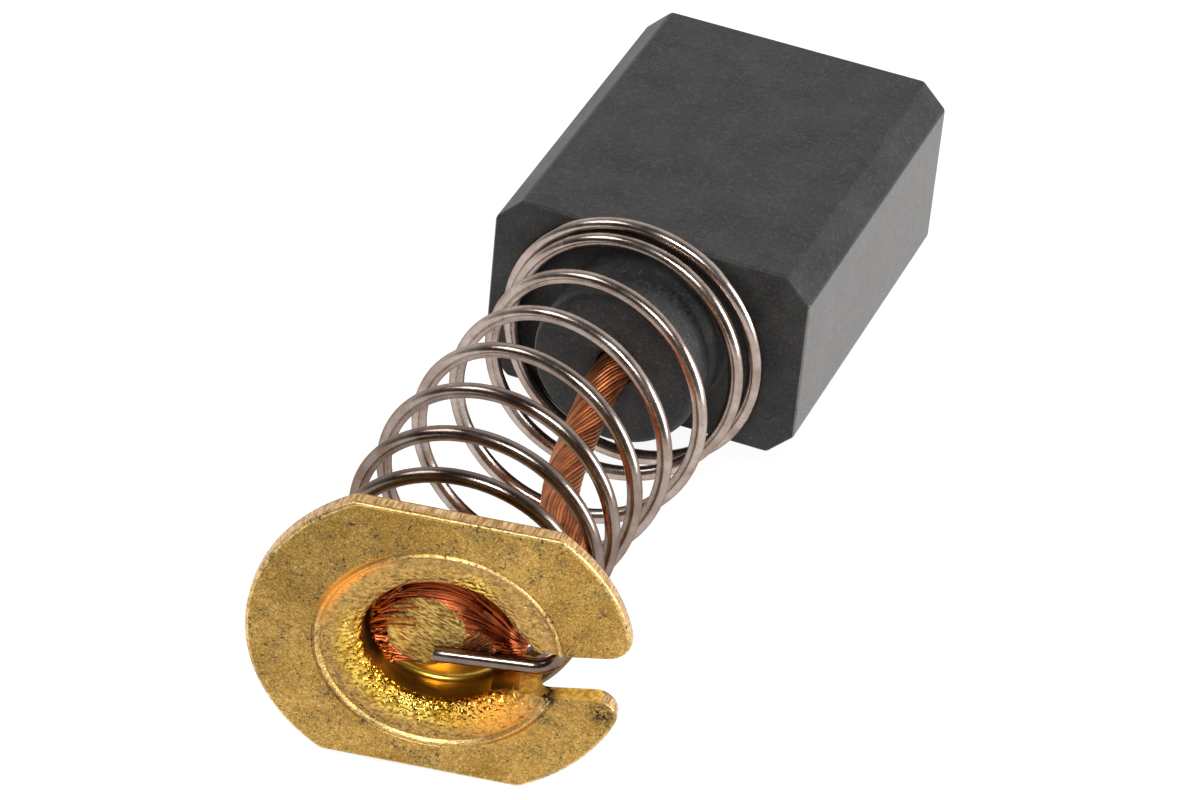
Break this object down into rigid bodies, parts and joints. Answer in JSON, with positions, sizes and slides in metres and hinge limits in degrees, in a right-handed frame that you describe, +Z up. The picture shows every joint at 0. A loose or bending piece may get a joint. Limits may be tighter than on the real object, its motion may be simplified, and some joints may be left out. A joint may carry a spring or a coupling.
{
  "type": "carbon brush",
  "caption": "Spring-loaded carbon brush: a chamfered carbon block with a coil spring, a copper pigtail and a slotted brass contact cap.",
  "frame": {"origin": "centre of the carbon block's contact face, the flat end away from the spring", "axes": "+Y out of the contact face towards the commutator, +X across the block's width, +Z up through its thickness"},
  "size_m": [0.0106, 0.0306, 0.0096],
  "materials": {
    "carbon": "matt pressed electrographite",
    "spring_wire": "bright drawn wire",
    "cap_brass": "tumbled, a little tarnished",
    "copper_lead": "stranded copper, welded flat at the cap"
  },
  "bodies": {
    "brush": {"carbon_block": "carbon", "spring": "spring_wire", "pigtail": "copper_lead"},
    "cap": {"contact_cap": "cap_brass"}
  },
  "joints": [
    {"name": "spring_press", "type": "slide", "parent": "brush", "child": "cap", "axis": [0, 1, 0], "range_m": [0, 0.009], "stiffness_N_per_m": 156, "deforming": ["spring", "pigtail"]}
  ]
}
